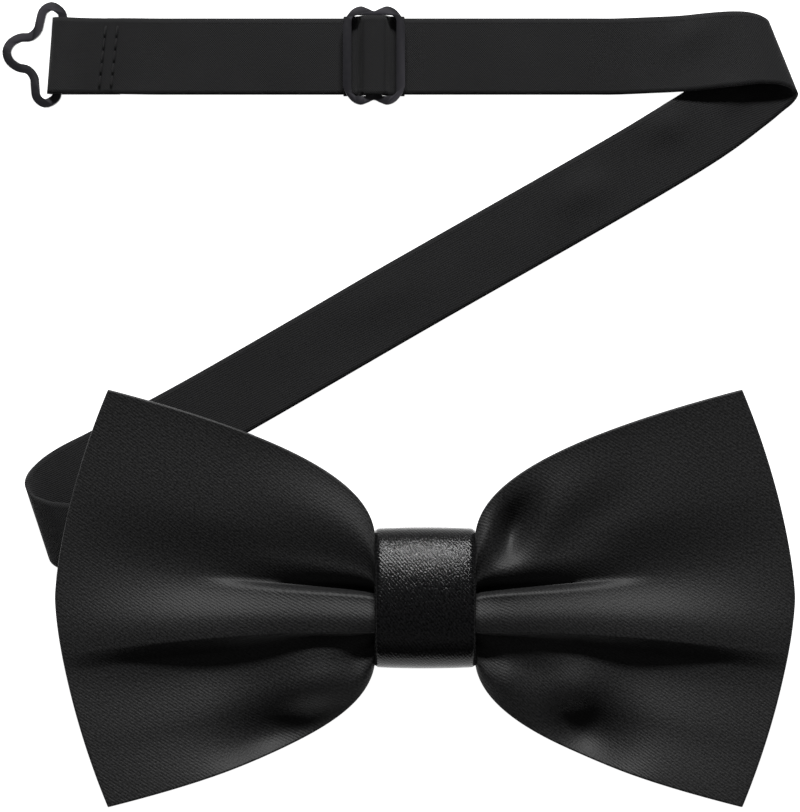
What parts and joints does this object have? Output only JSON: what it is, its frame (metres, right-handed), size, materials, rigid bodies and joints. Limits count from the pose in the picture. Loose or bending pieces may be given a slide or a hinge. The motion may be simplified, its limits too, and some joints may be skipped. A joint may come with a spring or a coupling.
{
  "type": "bow tie",
  "caption": "Pre-tied satin bow tie with a pleated bow held in a wrapped knot, on a folded webbing neck strap with a sliding buckle, a swinging eye and a swinging hook.",
  "frame": {"origin": "middle of the knot's flat back face, where it rests on the table or on the shirt collar", "axes": "+X along the bow to the wearer's left as seen from the front, +Y up the knot, +Z out of the knot's front, away from the table"},
  "size_m": [0.1345, 0.1353, 0.0153],
  "materials": {
    "satin": "black twill-backed satin with a soft sheen",
    "webbing": "black plain-weave ribbon webbing, matt",
    "interlining": "stiff woven interlining, matt",
    "thread": "black polyester sewing thread",
    "black_metal": "black painted die-cut metal, satin gloss"
  },
  "bodies": {
    "bow_and_strap": {"bow_front_panel": "satin", "bow_back_panel": "satin", "bow_interlining": "interlining", "waist_cord": "thread", "knot_band": "satin", "knot_lining": "interlining", "knot_seam_stitches": "thread", "neck_strap": "webbing", "strap_tack_left": "thread", "strap_tack_right": "thread", "eye_stitch_row_1": "thread", "eye_stitch_row_2": "thread", "hook_stitch_row_1": "thread", "hook_stitch_row_2": "thread"},
    "slide": {"strap_slide": "black_metal", "strap_bend": "webbing"},
    "eye": {"eye": "black_metal"},
    "hook": {"hook": "black_metal"}
  },
  "joints": [
    {"name": "slide_travel", "type": "slide", "parent": "bow_and_strap", "child": "slide", "axis": [1, 0, 0], "range_m": [-0.03, 0.034]},
    {"name": "eye_swing", "type": "hinge", "parent": "bow_and_strap", "child": "eye", "pos_m": [-0.0616, 0.0914, 0.00187], "axis": [0.0749, 0.9972, 0], "range_deg": [-120, 140]},
    {"name": "hook_swing", "type": "hinge", "parent": "bow_and_strap", "child": "hook", "pos_m": [0.037, 0, 0.00187], "axis": [0, -1, 0], "range_deg": [-120, 0]}
  ]
}
